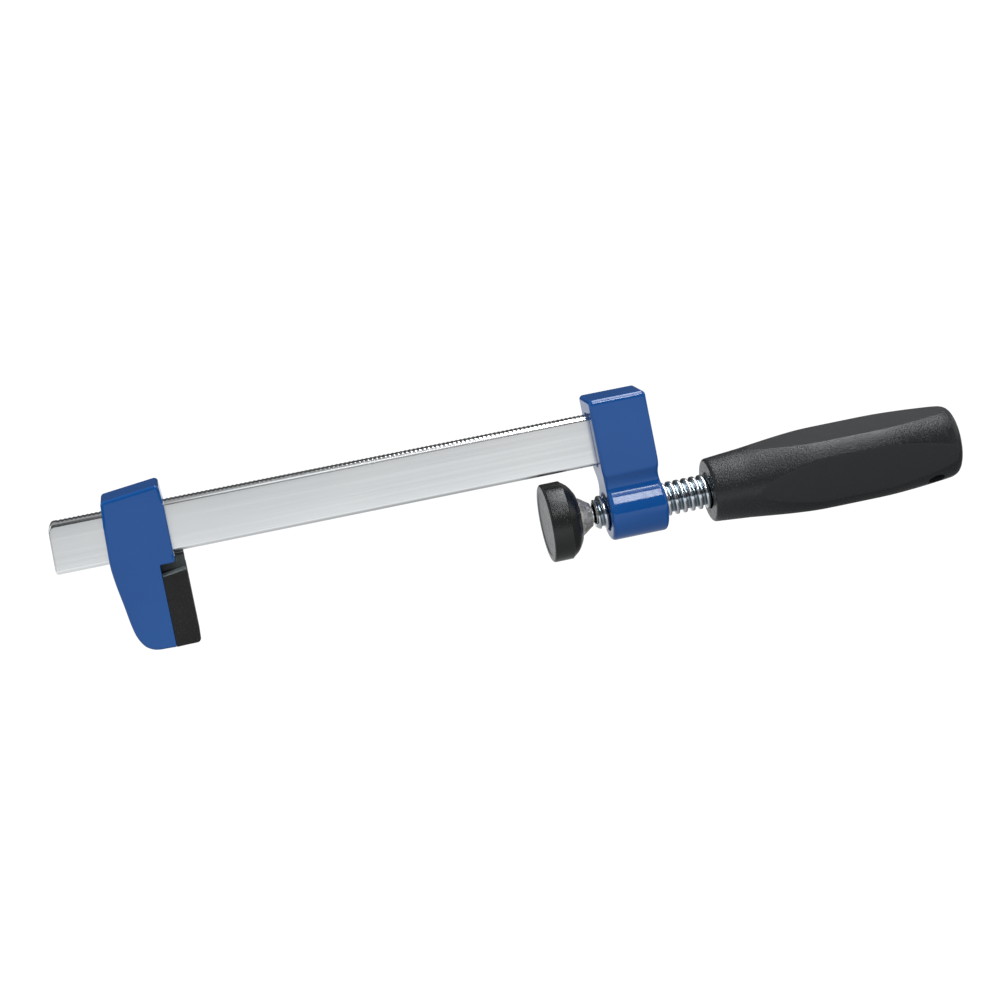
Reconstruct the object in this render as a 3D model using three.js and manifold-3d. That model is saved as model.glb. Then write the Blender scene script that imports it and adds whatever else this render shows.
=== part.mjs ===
// Light-duty F clamp: a serrated flat steel bar, a jaw fixed at one end that
// carries the screw, and a jaw that slides on the bar and faces it.
//
// Frame: millimetres, +Z up. The origin is where the screw's axis meets the pad
// face of the sliding jaw. +X runs along the bar towards the handle, +Z towards
// the serrated edge of the bar, and Y is across the jaws.

import * as THREE from 'three';
import { mergeVertices } from 'three/addons/utils/BufferGeometryUtils.js';
import Module from 'manifold-3d';

const wasm = await Module();
wasm.setup();

const { clamp: limit, degToRad, radToDeg } = THREE.MathUtils;

// ---------------------------------------------------------- shared dimensions

const INCH = 25.4;
// running clearance between pieces
const GAP = 0.3;

// bar
const BAR_X0 = -45.5;
const BAR_X1 = 173.4;
const BAR_Z0 = 18.05;
const BAR_HEIGHT = 0.75 * INCH;
const BAR_TOP = BAR_Z0 + BAR_HEIGHT;
const BAR_HALF_Y = 3.2;

// both jaws have this half thickness across Y
const JAW_HALF_Y = 9.4;

// pins across the fixed jaw and the bar
const JAW_PIN = { radius: 2.0, y0: -5.8, y1: 8.9 };
const JAW_PIN_X = 163.8;
const JAW_PINS = [
  { name: 'fixed_jaw_pin_lower', z: 23.6 },
  { name: 'fixed_jaw_pin_upper', z: 31.6 },
];

// screw, along X from the centre of its ball, which lies at BALL_X
const BALL_X = 139.6;
const BALL_RADIUS = 5.2;
const THRUST_BALL_RADIUS = 2.2;
const THRUST_BALL_X = -2.1;
const THREAD_END = 56.9;
const THREAD_RADIUS = INCH / 4;
const TANG_RADIUS = 4.7;
const TANG_END = 104.0;

// flange of the swivel cup, along X from the ball's centre
const FLANGE_X0 = -5.7;
const FLANGE_X1 = -4.3;
const FLANGE_RADIUS = 10.8;

// -------------------------------------------------------------------- helpers

function toSolid(geometry) {
  const bare = geometry.clone();
  bare.deleteAttribute('normal');
  bare.deleteAttribute('uv');
  const merged = mergeVertices(bare, 1e-4);
  const index = merged.index.array;
  const triangles = [];
  for (let i = 0; i < index.length; i += 3) {
    const [a, b, c] = [index[i], index[i + 1], index[i + 2]];
    if (a !== b && b !== c && a !== c) triangles.push(a, b, c);
  }
  return new wasm.Manifold(new wasm.Mesh({
    numProp: 3,
    vertProperties: new Float32Array(merged.attributes.position.array),
    triVerts: new Uint32Array(triangles),
  }));
}

function toGeometry(solid) {
  const mesh = solid.getMesh();
  const geometry = new THREE.BufferGeometry();
  const positions = new Float32Array(mesh.vertProperties);
  geometry.setAttribute('position', new THREE.BufferAttribute(positions, 3));
  geometry.setIndex(new THREE.BufferAttribute(new Uint32Array(mesh.triVerts), 1));
  geometry.computeVertexNormals();
  return geometry;
}

/** The solid with each of the cutter geometries taken away in turn. */
function cut(solid, ...cutters) {
  return cutters.reduce((rest, cutter) => rest.subtract(toSolid(cutter)), solid);
}

/** Closed profile extruded along +Z; the bevel stays inside the profile and the length. */
function extrude(points, length, bevel) {
  const shape = new THREE.Shape(points.map(([x, y]) => new THREE.Vector2(x, y)));
  return new THREE.ExtrudeGeometry(shape, {
    depth: length - 2 * bevel,
    bevelEnabled: bevel > 0,
    bevelThickness: bevel,
    bevelSize: bevel,
    bevelOffset: -bevel,
    bevelSegments: 2,
    steps: 1,
  });
}

/** Closed profile of [x, z] points, extruded across Y from -halfY to halfY. */
function sideProfile(points, halfY, bevel = 0) {
  const geometry = extrude(points, 2 * halfY, bevel);
  geometry.rotateX(Math.PI / 2);
  geometry.translate(0, halfY - bevel, 0);
  return geometry;
}

/** Closed profile of [y, z] points, extruded along X from x0 to x1. */
function crossSection(points, x0, x1, bevel = 0) {
  const geometry = extrude(points, x1 - x0, bevel);
  geometry.applyMatrix4(new THREE.Matrix4().makeBasis(
    new THREE.Vector3(0, 1, 0),
    new THREE.Vector3(0, 0, 1),
    new THREE.Vector3(1, 0, 0),
  ));
  geometry.translate(x0 + bevel, 0, 0);
  return geometry;
}

/** Body of revolution about X from [x, radius] points. */
function turned(points, segments) {
  const profile = points.map(([x, radius]) => new THREE.Vector2(radius, x));
  const geometry = new THREE.LatheGeometry(profile, segments);
  geometry.rotateZ(-Math.PI / 2);
  return geometry;
}

function rodX(radius, x0, x1, segments) {
  const geometry = new THREE.CylinderGeometry(radius, radius, x1 - x0, segments);
  geometry.rotateZ(-Math.PI / 2);
  geometry.translate((x0 + x1) / 2, 0, 0);
  return geometry;
}

function rodY(radius, y0, y1, x, z) {
  const geometry = new THREE.CylinderGeometry(radius, radius, y1 - y0, 16);
  geometry.translate(x, (y0 + y1) / 2, z);
  return geometry;
}

function pinRod(pin, x, z) {
  return rodY(pin.radius, pin.y0, pin.y1, x, z);
}

/** Cutter for a pin's hole: blind towards -Y, and open through the +Y face of a jaw. */
function pinHole(pin, x, z) {
  return rodY(pin.radius + GAP, pin.y0 - GAP, 20, x, z);
}

function block([x0, x1], [y0, y1], [z0, z1]) {
  const geometry = new THREE.BoxGeometry(x1 - x0, y1 - y0, z1 - z0);
  geometry.translate((x0 + x1) / 2, (y0 + y1) / 2, (z0 + z1) / 2);
  return geometry;
}

/** Value at z in a table of [z, value] rows that rises in z, held level past its ends. */
function lookUp(table, z) {
  if (z <= table[0][0]) return table[0][1];
  for (let i = 1; i < table.length; i++) {
    const [z0, value0] = table[i - 1];
    const [z1, value1] = table[i];
    if (z <= z1) return value0 + (value1 - value0) * (z - z0) / (z1 - z0);
  }
  return table[table.length - 1][1];
}

/** Points on a circle about the origin, both ends included. */
function arc(radius, fromDegrees, toDegrees, steps) {
  const points = [];
  for (let i = 0; i <= steps; i++) {
    const angle = degToRad(fromDegrees + (toDegrees - fromDegrees) * i / steps);
    points.push([radius * Math.cos(angle), radius * Math.sin(angle)]);
  }
  return points;
}

function addMesh(parent, name, geometry, material) {
  const mesh = new THREE.Mesh(geometry, material);
  mesh.name = name;
  parent.add(mesh);
  return mesh;
}

function addGroup(parent, x) {
  const group = new THREE.Group();
  group.position.x = x;
  parent.add(group);
  return group;
}

// ------------------------------------------------------------------ materials

function material(settings) {
  return new THREE.MeshStandardMaterial(settings);
}

const paint = () => material({ color: 0x1f4f96, roughness: 0.32, metalness: 0 });
const zinc = () => material({ color: 0xc9cdd0, roughness: 0.3, metalness: 1 });
const darkSteel = () => material({ color: 0x8d8f90, roughness: 0.38, metalness: 1 });
const blackPlastic = () => material({ color: 0x202122, roughness: 0.5, metalness: 0 });
const rubber = () => material({ color: 0x1b1c1b, roughness: 0.72, metalness: 0 });

// ------------------------------------------------------------------------ bar
// modelled in its own frame: x from its free end, z from its lower edge

const BAR_LENGTH = BAR_X1 - BAR_X0;
const BAR_CHAMFER = 1.2;
const TOOTH_PITCH = INCH / 16;
const TOOTH_DEPTH = 0.55;
const TEETH_START = 3.2;
const TEETH_END_MARGIN = 1.0;

// free end, [x, z]: a little out of square, with a small lower corner and a large upper one
const BAR_LOWER_CORNER = [[0, 0.9], [0.25, 0.25], [0.9, 0]];
const BAR_UPPER_CORNER = [
  [3.1, BAR_HEIGHT], [1.8, BAR_HEIGHT - 0.5], [0.85, BAR_HEIGHT - 1.9], [0.5, BAR_HEIGHT - 4.2],
];

/** Serrated edge as [x, z] points, from the fixed jaw's end back to the free end. */
function barTeeth() {
  const count = Math.floor((BAR_LENGTH - TEETH_END_MARGIN - TEETH_START) / TOOTH_PITCH);
  const points = [];
  for (let i = count; i >= 1; i--) {
    const x = TEETH_START + i * TOOTH_PITCH;
    points.push([x, BAR_HEIGHT], [x - TOOTH_PITCH / 2, BAR_HEIGHT - TOOTH_DEPTH]);
  }
  return points;
}

function buildBar(parent) {
  const outline = [
    ...BAR_LOWER_CORNER, [BAR_LENGTH, 0], [BAR_LENGTH, BAR_HEIGHT],
    ...barTeeth(), ...BAR_UPPER_CORNER,
  ];
  const inY = BAR_HALF_Y - BAR_CHAMFER;
  const inTop = BAR_HEIGHT - BAR_CHAMFER;
  const section = [
    [-BAR_HALF_Y, BAR_CHAMFER], [-inY, 0], [inY, 0], [BAR_HALF_Y, BAR_CHAMFER],
    [BAR_HALF_Y, inTop], [inY, BAR_HEIGHT], [-inY, BAR_HEIGHT], [-BAR_HALF_Y, inTop],
  ];
  const blank = toSolid(sideProfile(outline, BAR_HALF_Y))
    .intersect(toSolid(crossSection(section, -1, BAR_LENGTH + 1)));
  const reach = BAR_HALF_Y + 1;
  const holes = JAW_PINS.map(({ z }) => (
    rodY(JAW_PIN.radius + GAP, -reach, reach, JAW_PIN_X - BAR_X0, z - BAR_Z0)));
  const bar = addMesh(parent, 'bar', toGeometry(cut(blank, ...holes)), zinc());
  bar.position.set(BAR_X0, 0, BAR_Z0);
}

// ------------------------------------------------------------------ fixed jaw

const FIXED_X0 = 152.8;
const FIXED_X1 = 174.2;
const FIXED_TOP = 43.2;
const BOSS_RADIUS = 11.1;
const FIXED_BEVEL = 0.8;

// end faces, [z, x]: they lean, and are waisted at the neck
const FIXED_LEFT = [
  [-12, 154.4], [4, 154.5], [7.5, 154.85], [10.5, 154.9], [13.5, 154.6], [16.5, 154.0],
  [FIXED_TOP, FIXED_X0],
];
const FIXED_RIGHT = [
  [-12, 175.7], [-4, 175.8], [1, 175.9], [6, 175.7], [8.3, 175.05], [11.7, 174.6],
  [13.8, 174.75], [16.8, 175.15], [FIXED_TOP, FIXED_X1],
];

// +Y half of the cross section, [y, z], from the top down to the foot of the screw boss
const FIXED_HALF_SECTION = [
  [JAW_HALF_Y - 1.3, FIXED_TOP], [JAW_HALF_Y - 0.4, FIXED_TOP - 0.4],
  [JAW_HALF_Y, FIXED_TOP - 1.3], [JAW_HALF_Y, 15.4],
  [9.2, 14.5], [8.65, 13.5], [8.05, 12.4], [7.65, 10.9], [7.6, 9.4], [7.75, 8.5],
  ...arc(BOSS_RADIUS, 43, -90, 13),
];

/** Extruded between square ends, which are then moved on to the leaning, waisted faces. */
function fixedJawBody() {
  const mirrored = FIXED_HALF_SECTION.slice(0, -1).map(([y, z]) => [-y, z]).reverse();
  const section = [...FIXED_HALF_SECTION, ...mirrored].reverse();
  const length = FIXED_X1 - FIXED_X0;
  const body = crossSection(section, 0, length, FIXED_BEVEL);
  const position = body.attributes.position;
  for (let i = 0; i < position.count; i++) {
    const z = position.getZ(i);
    const left = lookUp(FIXED_LEFT, z) - FIXED_X0;
    const right = lookUp(FIXED_RIGHT, z) - FIXED_X0;
    position.setX(i, left + (right - left) * (position.getX(i) / length));
  }
  return body;
}

function buildFixedJaw(parent) {
  const group = addGroup(parent, FIXED_X0);
  const pinX = JAW_PIN_X - FIXED_X0;
  const slotHalfY = BAR_HALF_Y + GAP;
  // the slot and bore cutters run past both end faces
  const [cutX0, cutX1] = [-5, 30];
  const jaw = cut(
    toSolid(fixedJawBody()),
    block([cutX0, cutX1], [-slotHalfY, slotHalfY], [BAR_Z0 - GAP, BAR_TOP + GAP]),
    rodX(THREAD_RADIUS + GAP, cutX0, cutX1, 32),
    ...JAW_PINS.map(({ z }) => pinHole(JAW_PIN, pinX, z)),
  );
  addMesh(group, 'fixed_jaw', toGeometry(jaw), paint());
  for (const { name, z } of JAW_PINS) {
    addMesh(group, name, pinRod(JAW_PIN, pinX, z), darkSteel());
  }
}

// ---------------------------------------------------------------- sliding jaw

const LEG_FACE_X = -9.0;

// slot for the bar, with its own clearances
const SLOT_HALF_Y = BAR_HALF_Y + 0.25;
const SLOT_Z = [BAR_Z0 - 0.7, BAR_TOP + 0.55];

// pins above and below the bar
const GRIP_PIN = { radius: 1.5, y0: -6.2, y1: 8.8 };
const GRIP_PINS = [
  { name: 'grip_pin_upper', x: -6.2, z: 38.75 },
  { name: 'grip_pin_lower', x: -22.2, z: 16.05 },
];

// rib on the leg that the pad is pushed on to, and the clearance of its socket
const RIB_X1 = -7.0;
const RIB_HALF_Y = 2.1;
const RIB_Z0 = -11.2;
const RIB_Z1 = 8.8;
const RIB_GAP = 0.4;

// side outline, [x, z]
const SLIDING_OUTLINE = [
  [-24.1, 42.0], [-25.0, 41.1], [-25.6, 33.5], [-25.95, 24.5], [-26.15, 18.2],
  [-25.55, 12.4], [-24.25, 3.6], [-22.95, -5.2], [-21.75, -9.2], [-19.5, -12.6],
  [-16.6, -14.3], [LEG_FACE_X, -14.65],
  [LEG_FACE_X, 14.95], [-8.4, 15.55], [-4.3, 15.65], [-3.4, 16.55],
  [-3.4, 37.2], [-3.9, 43.1], [-4.8, 44.15],
];

function buildSlidingJaw(parent) {
  const rib = block([-11, RIB_X1], [-RIB_HALF_Y, RIB_HALF_Y], [RIB_Z0, RIB_Z1]);
  const jaw = cut(
    toSolid(sideProfile(SLIDING_OUTLINE, JAW_HALF_Y, 1.2)).add(toSolid(rib)),
    block([-40, 10], [-SLOT_HALF_Y, SLOT_HALF_Y], SLOT_Z),
    ...GRIP_PINS.map(({ x, z }) => pinHole(GRIP_PIN, x, z)),
  );
  addMesh(parent, 'sliding_jaw', toGeometry(jaw), paint());
  for (const { name, x, z } of GRIP_PINS) {
    addMesh(parent, name, pinRod(GRIP_PIN, x, z), darkSteel());
  }
}

// ------------------------------------------------- rubber pad, sliding jaw

const PAD_BACK_X = LEG_FACE_X + GAP;
const PAD_Z0 = -14.8;
const TONGUE_BACK_X = PAD_BACK_X + 0.4;
const TONGUE_TOP = 17.7;
const TONGUE_HALF_Y = 3.1;

// side outline, [x, z]
const PAD_OUTLINE = [
  [PAD_BACK_X, PAD_Z0], [-1.8, PAD_Z0], [-0.5, PAD_Z0 + 0.5], [0, PAD_Z0 + 1.8],
  [0, 12.6], [PAD_BACK_X, 10.8],
];

// tongue that rises under the bar between the shoulders, [x, z]
const TONGUE_OUTLINE = [
  [TONGUE_BACK_X, 8], [0, 8], [0, TONGUE_TOP - 0.4], [-0.4, TONGUE_TOP],
  [-2.9, TONGUE_TOP], [-2.9, 15.2], [TONGUE_BACK_X, 15.2],
];

function buildJawPad(parent) {
  const socketHalfY = RIB_HALF_Y + RIB_GAP;
  const pad = cut(
    toSolid(sideProfile(PAD_OUTLINE, JAW_HALF_Y, 0.5))
      .add(toSolid(sideProfile(TONGUE_OUTLINE, TONGUE_HALF_Y))),
    block(
      [-12, RIB_X1 + RIB_GAP],
      [-socketHalfY, socketHalfY],
      [RIB_Z0 - RIB_GAP, RIB_Z1 + RIB_GAP],
    ),
  );
  addMesh(parent, 'jaw_pad', toGeometry(pad), rubber());
}

// -------------------------------------------------------------------- spindle

// flat on the -X side of the ball
const BALL_FLAT = -3.7;
const NECK_RADIUS = 2.9;
const COLLAR_RADIUS = 4.2;
const THREAD_START = 10.0;
const THREAD_ROOT = 5.1;
const THREAD_PITCH = 3.0;
const ROWS_PER_PITCH = 5;
// the head and the tang run this far into the thread
const THREAD_OVERLAP = 2;
// shares of half a pitch, measured out from mid-groove
const GROOVE_SHARE = 0.25;
const FLANK_SHARE = 0.45;
// the thread rises to full height over this length
const LEAD_IN = 0.8 * THREAD_PITCH;

/** A cylinder whose skin follows a right-hand helix. */
function threadSkin() {
  const length = THREAD_END - THREAD_START;
  const rows = Math.round(length / THREAD_PITCH * ROWS_PER_PITCH);
  const skin = new THREE.CylinderGeometry(1, 1, length, 18, rows);
  skin.rotateZ(-Math.PI / 2);
  skin.translate(THREAD_START + length / 2, 0, 0);
  const position = skin.attributes.position;
  for (let i = 0; i < position.count; i++) {
    const x = position.getX(i);
    const y = position.getY(i);
    const z = position.getZ(i);
    const oldRadius = Math.hypot(y, z);
    // the centres of the end faces stay on the axis
    if (oldRadius < 1e-3) continue;
    const turns = Math.atan2(z, y) / (2 * Math.PI);
    const helix = x / THREAD_PITCH - turns;
    const phase = helix - Math.floor(helix);
    const fromGroove = Math.abs(phase - 0.5) * 2;
    const lift = limit((fromGroove - GROOVE_SHARE) / FLANK_SHARE, 0, 1);
    const lead = limit((x - THREAD_START) / LEAD_IN, 0, 1);
    const radius = THREAD_ROOT + (THREAD_RADIUS - THREAD_ROOT) * lift * lead;
    position.setY(i, y / oldRadius * radius);
    position.setZ(i, z / oldRadius * radius);
  }
  return skin;
}

function buildSpindle(parent) {
  const flatAngle = radToDeg(Math.acos(BALL_FLAT / BALL_RADIUS));
  const neckAngle = radToDeg(Math.asin(NECK_RADIUS / BALL_RADIUS));
  const headEnd = THREAD_START + THREAD_OVERLAP;
  const head = [
    [BALL_FLAT, 0], ...arc(BALL_RADIUS, flatAngle, neckAngle, 10),
    [THREAD_START - 0.9, NECK_RADIUS], [THREAD_START, COLLAR_RADIUS],
    [headEnd, COLLAR_RADIUS], [headEnd, 0],
  ];
  const tangStart = THREAD_END - THREAD_OVERLAP;
  const tang = [
    [tangStart, 0], [tangStart, TANG_RADIUS],
    [TANG_END - 1, TANG_RADIUS], [TANG_END, TANG_RADIUS - 1], [TANG_END, 0],
  ];
  const seatRadius = THRUST_BALL_RADIUS + GAP;
  const spindle = cut(
    toSolid(threadSkin()).add(toSolid(turned(head, 20))).add(toSolid(turned(tang, 16))),
    rodX(seatRadius, -8, THRUST_BALL_X + seatRadius, 16),
  );
  addMesh(parent, 'spindle', toGeometry(spindle), zinc());
}

// --------------------------------------------- swivel pad on the screw's ball
// profiles are [x, radius], with x from the ball's centre

function buildThrustBall(parent) {
  const sphere = toSolid(new THREE.SphereGeometry(THRUST_BALL_RADIUS, 12, 8));
  const ball = addMesh(parent, 'thrust_ball', toGeometry(sphere), darkSteel());
  ball.position.x = THRUST_BALL_X;
}

const WASHER_PROFILE = [
  [-5.4, 0], [-5.4, 4.6], [-5.2, 4.8], [-4.8, 4.8], [-4.6, 4.6], [-4.6, 0],
];

function buildThrustWasher(parent) {
  addMesh(parent, 'thrust_washer', turned(WASHER_PROFILE, 20), darkSteel());
}

const SOCKET_RADIUS = BALL_RADIUS + 0.4;
const MOUTH_RADIUS = 4.1;
const CUP_END = 8.8;

/** Cup: its flange is held in the cap, and its +X end closes round the screw's neck. */
function buildSwivelCup(parent) {
  const mouthAngle = radToDeg(Math.asin(MOUTH_RADIUS / SOCKET_RADIUS));
  const profile = [
    [FLANGE_X0, SOCKET_RADIUS], [FLANGE_X0, FLANGE_RADIUS],
    [FLANGE_X1, FLANGE_RADIUS], [FLANGE_X1, 7.6],
    [3.7, 7.5], [4.8, 7.1], [6.1, 6.3], [7.3, 5.4], [8.3, 4.7], [CUP_END, 4.5],
    [CUP_END, MOUTH_RADIUS], ...arc(SOCKET_RADIUS, mouthAngle, 90, 6),
    [FLANGE_X0, SOCKET_RADIUS],
  ];
  addMesh(parent, 'swivel_cup', toGeometry(toSolid(turned(profile, 24))), darkSteel());
}

// clamping face, at the -X end
const CAP_FACE = -8.2;
const CAP_BACK = 3.9;
const CAP_RADIUS = 14.6;
const CAP_BORE_RADIUS = 8.1;
// groove round the cup's flange
const GROOVE_X0 = FLANGE_X0 - GAP;
const GROOVE_X1 = FLANGE_X1 + GAP;
const GROOVE_RADIUS = FLANGE_RADIUS + 0.4;

const CAP_PROFILE = [
  [CAP_FACE, 0], [CAP_FACE, CAP_RADIUS - 1.2], [CAP_FACE + 0.35, CAP_RADIUS - 0.35],
  [CAP_FACE + 1.2, CAP_RADIUS], [-0.7, CAP_RADIUS], [-0.35, CAP_RADIUS - 0.45],
  [1.5, 12.6], [2.8, 11.0], [3.6, 9.8], [CAP_BACK, 9.0], [CAP_BACK, CAP_BORE_RADIUS],
  [GROOVE_X1, CAP_BORE_RADIUS], [GROOVE_X1, GROOVE_RADIUS],
  [GROOVE_X0, GROOVE_RADIUS], [GROOVE_X0, 0],
];

function buildSwivelCap(parent) {
  addMesh(parent, 'swivel_cap', toGeometry(toSolid(turned(CAP_PROFILE, 36))), blackPlastic());
}

// --------------------------------------------------------------------- handle
// along X from its -X end, which lies at HANDLE_X

const HANDLE_X = 193.6;
const HANDLE_HALF_FLAT = 13.42;
const HANDLE_TURN_DEGREES = 10;
const HANG_HOLE_X = 85.6;
const HANG_HOLE_RADIUS = 3.0;

// [x, radius]
const HANDLE_PROFILE = [
  [0, 0], [0, 10.9], [0.3, 11.6], [1.0, 11.95], [8.4, 12.61], [14.0, 13.08],
  [19.5, 13.72], [25.0, 14.33], [30.5, 14.95], [36.0, 15.5], [40.5, 15.82],
  [46.0, 15.87], [57.0, 15.9], [64.0, 15.92], [69.0, 15.8], [74.3, 15.47],
  [79.8, 15.03], [85.6, 14.46], [91.0, 14.0], [93.2, 13.6], [94.9, 12.9],
  [95.8, 12.0], [96.4, 9.5], [96.6, 0],
];

function buildHandle(parent) {
  const group = addGroup(parent, HANDLE_X);
  const across = [-HANDLE_HALF_FLAT, HANDLE_HALF_FLAT];
  const flats = block([-5, 110], across, across);
  flats.rotateX(degToRad(HANDLE_TURN_DEGREES));

  // the hole runs from the -Y -Z corner of the section to the +Y +Z one
  const hangHole = new THREE.CylinderGeometry(HANG_HOLE_RADIUS, HANG_HOLE_RADIUS, 60, 16);
  hangHole.rotateX(degToRad(45 + HANDLE_TURN_DEGREES));
  hangHole.translate(HANG_HOLE_X, 0, 0);

  const ballToHandle = BALL_X - HANDLE_X;
  const handle = cut(
    toSolid(turned(HANDLE_PROFILE, 32)).intersect(toSolid(flats)),
    // counterbore for the end of the thread, then the socket for the tang
    rodX(THREAD_RADIUS + 0.35, -5, ballToHandle + THREAD_END + 0.4, 24),
    rodX(TANG_RADIUS + GAP, -5, ballToHandle + TANG_END + GAP, 16),
    hangHole,
  );
  addMesh(group, 'handle', toGeometry(handle), blackPlastic());
}

// ------------------------------------------------------------------- assembly

const clamp = new THREE.Group();
clamp.name = 'f_clamp';

buildBar(clamp);
buildFixedJaw(clamp);

const slider = addGroup(clamp, 0);
buildSlidingJaw(slider);
buildJawPad(slider);

const screw = addGroup(clamp, BALL_X);
buildSpindle(screw);
buildThrustBall(screw);
buildThrustWasher(screw);
buildSwivelCup(screw);
buildSwivelCap(screw);

buildHandle(clamp);

export default clamp;
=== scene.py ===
import math

import bmesh
import bpy
import numpy as np
from mathutils import Matrix, Vector


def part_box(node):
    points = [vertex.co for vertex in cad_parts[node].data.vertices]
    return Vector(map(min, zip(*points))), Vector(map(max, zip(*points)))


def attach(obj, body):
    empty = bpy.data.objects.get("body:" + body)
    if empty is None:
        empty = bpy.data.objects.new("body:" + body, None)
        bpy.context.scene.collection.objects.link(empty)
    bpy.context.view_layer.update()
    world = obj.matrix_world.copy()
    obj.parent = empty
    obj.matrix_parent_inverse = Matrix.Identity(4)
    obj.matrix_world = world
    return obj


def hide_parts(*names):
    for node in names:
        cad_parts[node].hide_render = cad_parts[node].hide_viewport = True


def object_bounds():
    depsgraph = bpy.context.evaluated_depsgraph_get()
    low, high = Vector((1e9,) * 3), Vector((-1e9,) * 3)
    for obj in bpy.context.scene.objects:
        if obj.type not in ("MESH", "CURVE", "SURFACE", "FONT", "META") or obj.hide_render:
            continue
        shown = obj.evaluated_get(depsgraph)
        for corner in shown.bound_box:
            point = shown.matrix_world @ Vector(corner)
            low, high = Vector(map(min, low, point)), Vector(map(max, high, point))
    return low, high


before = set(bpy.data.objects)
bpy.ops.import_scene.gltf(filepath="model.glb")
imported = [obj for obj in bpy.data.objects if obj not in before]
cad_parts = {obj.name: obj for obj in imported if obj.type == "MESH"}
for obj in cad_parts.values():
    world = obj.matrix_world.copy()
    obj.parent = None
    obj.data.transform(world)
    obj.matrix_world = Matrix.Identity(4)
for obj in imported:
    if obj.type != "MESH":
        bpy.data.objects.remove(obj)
cad_lo, cad_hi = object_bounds()

MM = 0.001
TAU = 2 * math.pi


# ------------------------------------------------------------ sizes, from the frame

def box_mm(node):
    lo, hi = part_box(node)
    return np.array(lo) / MM, np.array(hi) / MM


bar_lo, bar_hi = box_mm("bar")
fix_lo, fix_hi = box_mm("fixed_jaw")
sli_lo, sli_hi = box_mm("sliding_jaw")
pad_lo, pad_hi = box_mm("jaw_pad")
spi_lo, spi_hi = box_mm("spindle")
cup_lo, cup_hi = box_mm("swivel_cup")
cap_lo, cap_hi = box_mm("swivel_cap")
han_lo, han_hi = box_mm("handle")
pin_lo, pin_hi = box_mm("fixed_jaw_pin_lower")
JAW_PIN_X = (pin_lo[0] + pin_hi[0]) / 2
JAW_PIN_Z = tuple(float(sum(b[2] for b in box_mm(n)) / 2) for n in ("fixed_jaw_pin_lower", "fixed_jaw_pin_upper"))
GRIPS = [tuple(float(sum(b[i] for b in box_mm(n)) / 2) for i in (0, 2)) for n in ("grip_pin_upper", "grip_pin_lower")]
BALL_X = cap_lo[0] + 8.2
JAW_HALF_Y = sli_hi[1]
bar_half = bar_hi[1]


# ------------------------------------------------------------ mesh helpers

def new_object(name, verts, faces, angle=32.0):
    """Closed mesh object from points in mm, smooth shaded, with edges sharper than angle kept."""
    me = bpy.data.meshes.new(name)
    me.from_pydata([tuple(map(float, v)) for v in np.asarray(verts) * MM], [], [tuple(map(int, f)) for f in faces])
    bm = bmesh.new()
    bm.from_mesh(me)
    bmesh.ops.remove_doubles(bm, verts=bm.verts, dist=2e-7)
    bmesh.ops.dissolve_degenerate(bm, edges=bm.edges, dist=1e-8)
    bmesh.ops.recalc_face_normals(bm, faces=bm.faces)
    bm.to_mesh(me)
    bm.free()
    ob = bpy.data.objects.new(name, me)
    bpy.context.scene.collection.objects.link(ob)
    smooth(ob, angle)
    return ob


def smooth(ob, angle):
    me = ob.data
    me.polygons.foreach_set("use_smooth", [True] * len(me.polygons))
    me.set_sharp_from_angle(angle=math.radians(angle))
    me.update()


def weighted(ob):
    m = ob.modifiers.new("even_shading", "WEIGHTED_NORMAL")
    m.mode = "FACE_AREA"
    m.weight = 50
    m.keep_sharp = True


def cut(ob, *tools, operation="DIFFERENCE", angle=32.0):
    """Applies an exact boolean with each tool, then removes the tool."""
    for tool in tools:
        m = ob.modifiers.new("cut", "BOOLEAN")
        m.operation = operation
        m.solver = "EXACT"
        m.object = tool
        dg = bpy.context.evaluated_depsgraph_get()
        me = bpy.data.meshes.new_from_object(ob.evaluated_get(dg))
        ob.modifiers.clear()
        old = ob.data
        ob.data = me
        me.name = ob.name
        bpy.data.meshes.remove(old)
        data = tool.data
        bpy.data.objects.remove(tool)
        bpy.data.meshes.remove(data)
    me = ob.data
    bm = bmesh.new()
    bm.from_mesh(me)
    bmesh.ops.remove_doubles(bm, verts=bm.verts, dist=1e-7)
    bmesh.ops.dissolve_degenerate(bm, edges=bm.edges, dist=1e-7)
    flat = [e for e in bm.edges if len(e.link_faces) == 2
            and e.link_faces[0].normal.dot(e.link_faces[1].normal) > 1 - 1e-9
            and max(f.calc_area() for f in e.link_faces) > 4e-6]
    bmesh.ops.dissolve_limit(bm, angle_limit=math.radians(0.05), verts=[], edges=flat, use_dissolve_boundaries=False)
    bm.to_mesh(me)
    bm.free()
    smooth(ob, angle)
    return ob


def rings_to_mesh(rings, start=None, end=None, loop=False):
    """Quads between equal rings. start and end close the ends: a point, or 'face'."""
    rings = [np.asarray(r, float) for r in rings]
    m = len(rings[0])
    verts = [p for r in rings for p in r]
    faces = []
    n = len(rings)
    for i in range(n if loop else n - 1):
        a, b = i * m, ((i + 1) % n) * m
        for j in range(m):
            k = (j + 1) % m
            faces.append((a + j, a + k, b + k, b + j))
    if not loop:
        for which, base in ((start, 0), (end, (n - 1) * m)):
            if which is None:
                continue
            if isinstance(which, str):
                faces.append(tuple(base + j for j in range(m)))
            else:
                verts.append(np.asarray(which, float))
                c = len(verts) - 1
                for j in range(m):
                    faces.append((base + j, base + (j + 1) % m, c))
    return np.array(verts), faces


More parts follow.
